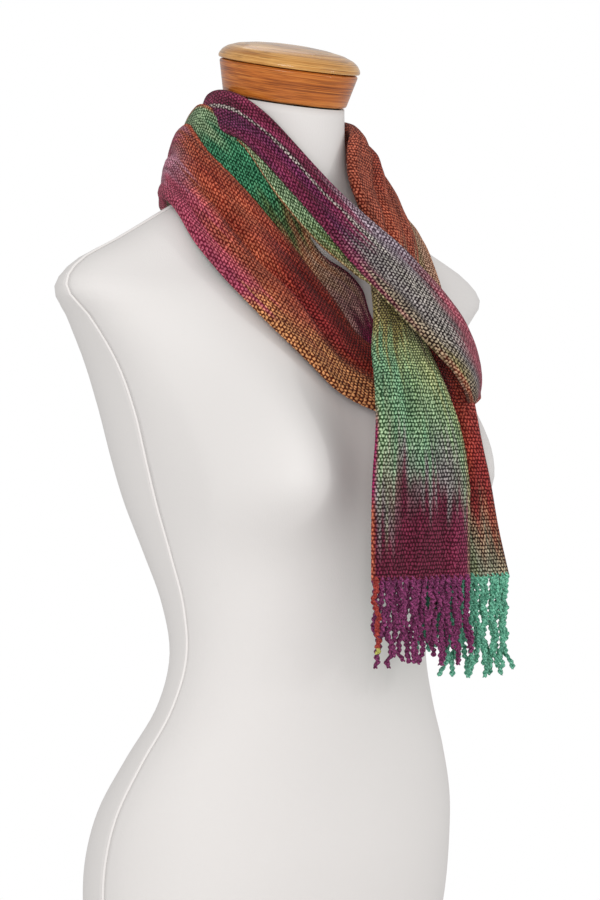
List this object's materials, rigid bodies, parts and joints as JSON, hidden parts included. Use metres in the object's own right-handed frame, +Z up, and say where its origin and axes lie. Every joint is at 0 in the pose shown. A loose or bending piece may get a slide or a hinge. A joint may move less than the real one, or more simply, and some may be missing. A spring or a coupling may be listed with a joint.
{
  "type": "dress form with woven scarf",
  "caption": "Countertop dress form: white jersey torso, wooden neck cap, height-locked swivel stand, and a hand-woven fringed scarf looped round its neck.",
  "frame": {"origin": "on the stand's axis, at the underside of the base pad", "axes": "+Z up along the mast; the form faces -Y; the wearer's left is +X"},
  "size_m": [0.4198, 0.3456, 0.9695],
  "materials": {
    "varnished_wood": "gloss varnish over a fine straight grain",
    "lid_wood": "gloss varnish, a little lighter and more golden",
    "pale_wood": "bare plywood or beech",
    "steel": "satin",
    "dark_steel": "dull dark grey",
    "nylon": "natural nylon",
    "black_plastic": "moulded, satin",
    "felt": "dark felt",
    "shell_board": "moulded shell",
    "white_jersey": "fine white knit, matt",
    "woven_scarf": "plain-woven chenille, space-dyed in reds, purples and greens",
    "purple_yarn": "twisted chenille yarn",
    "teal_yarn": "twisted chenille yarn"
  },
  "bodies": {
    "stand": {"base_pad": "felt", "base_disc": "varnished_wood", "weight_plate": "dark_steel", "floor_flange": "steel", "tube_grub_screw": "dark_steel", "floor_flange_screw_1": "dark_steel", "floor_flange_screw_2": "dark_steel", "floor_flange_screw_3": "dark_steel", "floor_flange_screw_4": "dark_steel", "outer_tube": "steel", "guide_bush": "nylon", "height_collar": "steel"},
    "lock_screw": {"lock_screw": "dark_steel", "lock_knob": "black_plastic"},
    "mast": {"inner_mast": "steel", "thrust_washer": "nylon"},
    "torso": {"torso_shell": "shell_board", "jersey_front": "white_jersey", "jersey_back": "white_jersey", "base_board": "pale_wood", "neck_plate": "pale_wood", "socket_flange": "steel", "socket_flange_screw_1": "dark_steel", "socket_flange_screw_2": "dark_steel", "socket_flange_screw_3": "dark_steel", "socket_flange_screw_4": "dark_steel", "scarf": "woven_scarf", "front_fringe": "purple_yarn", "rear_fringe": "teal_yarn"},
    "neck_cap": {"neck_block": "varnished_wood", "neck_lid": "lid_wood", "neck_dowel": "pale_wood"}
  },
  "joints": [
    {"name": "mast_slide", "type": "slide", "parent": "stand", "child": "mast", "axis": [0, 0, 1], "range_m": [0, 0.06]},
    {"name": "torso_swivel", "type": "hinge", "parent": "mast", "child": "torso", "pos_m": [0, 0, 0.17], "axis": [0, 0, 1], "continuous": true},
    {"name": "neck_cap_lift", "type": "slide", "parent": "torso", "child": "neck_cap", "axis": [0, -0.225, 0.9744], "range_m": [0, 0.045]},
    {"name": "lock_screw_turn", "type": "hinge", "parent": "stand", "child": "lock_screw", "pos_m": [0.045, 0, 0.12], "axis": [1, 0, 0], "range_deg": [0, 720]}
  ]
}
